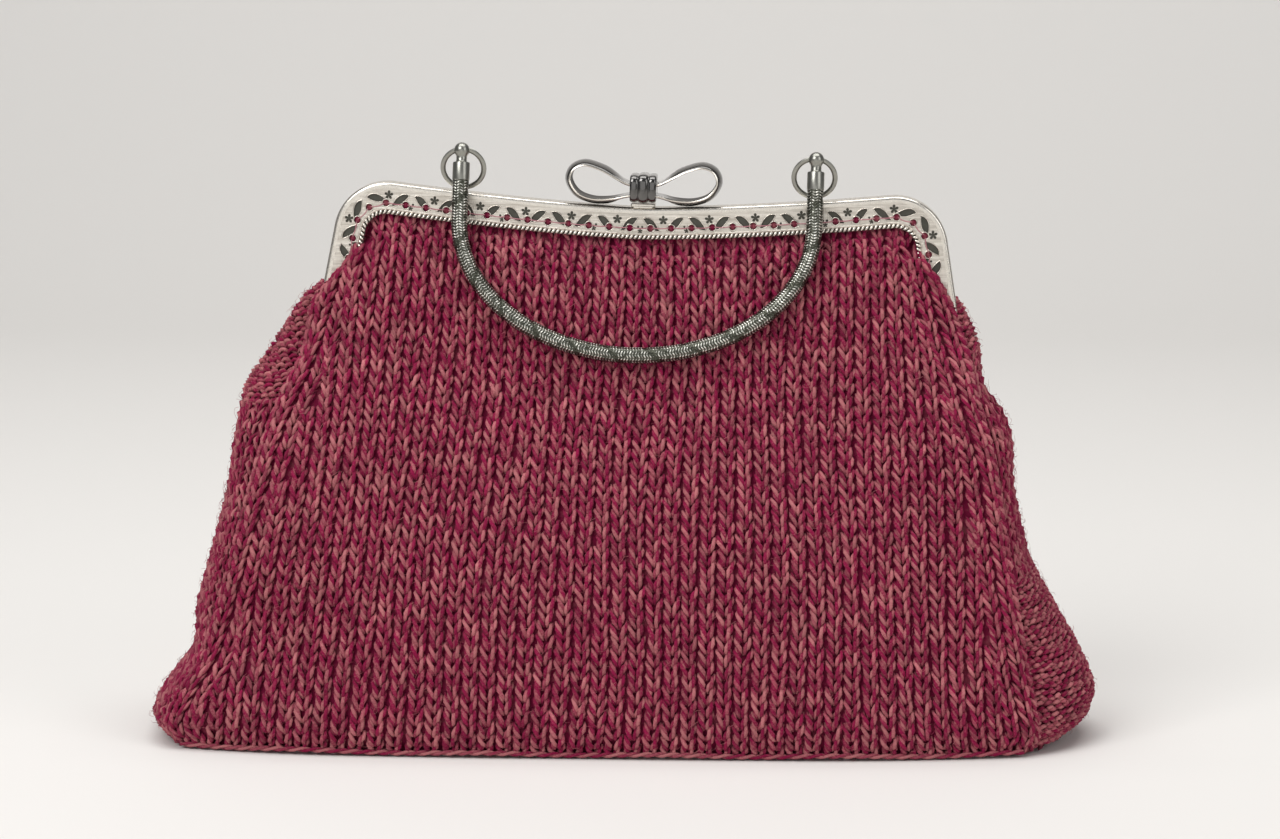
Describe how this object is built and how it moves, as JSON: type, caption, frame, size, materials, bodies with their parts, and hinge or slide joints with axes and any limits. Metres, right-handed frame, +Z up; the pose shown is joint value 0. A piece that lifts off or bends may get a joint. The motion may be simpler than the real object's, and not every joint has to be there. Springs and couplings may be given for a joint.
{
  "type": "knitted frame purse",
  "caption": "Knitted pochette that stands on a flat base, with gusset sides, a pierced metal kiss-lock frame, a bow clasp and an arched handle swinging on rings.",
  "frame": {"origin": "on the floor under the middle of the bag", "axes": "+X to the viewer's right along the bag, +Y from front to back, +Z up"},
  "size_m": [0.3081, 0.1, 0.1919],
  "materials": {
    "knit": "thick two-ply marl yarn in raspberry and dusty rose, stocking stitch",
    "satin_silver": "satin silver plate",
    "polished_metal": "polished plate",
    "braided_sleeve": "fine braided metal sleeve over a stiff bar"
  },
  "bodies": {
    "bag": {"front_panel": "knit", "back_panel": "knit", "gusset_left": "knit", "gusset_right": "knit", "base_panel": "knit", "front_frame": "satin_silver", "back_frame": "satin_silver", "hinge_pin_left": "satin_silver", "hinge_pin_right": "satin_silver", "bow_ribbon": "polished_metal", "bow_knot": "polished_metal"},
    "rings": {"ring_left": "satin_silver", "ring_right": "satin_silver"},
    "handle": {"handle_bar": "braided_sleeve", "end_cap_left": "satin_silver", "end_cap_right": "satin_silver"}
  },
  "joints": [
    {"name": "ring_swing", "type": "hinge", "parent": "bag", "child": "rings", "pos_m": [0.00612, -0.0024, 0.17596], "axis": [-0.9997, 0, 0.0244], "range_deg": [0, 60]},
    {"name": "handle_swing", "type": "hinge", "parent": "rings", "child": "handle", "pos_m": [0.00642, -0.00657, 0.18806], "axis": [-0.9997, 0, 0.0244], "range_deg": [0, 270]}
  ]
}
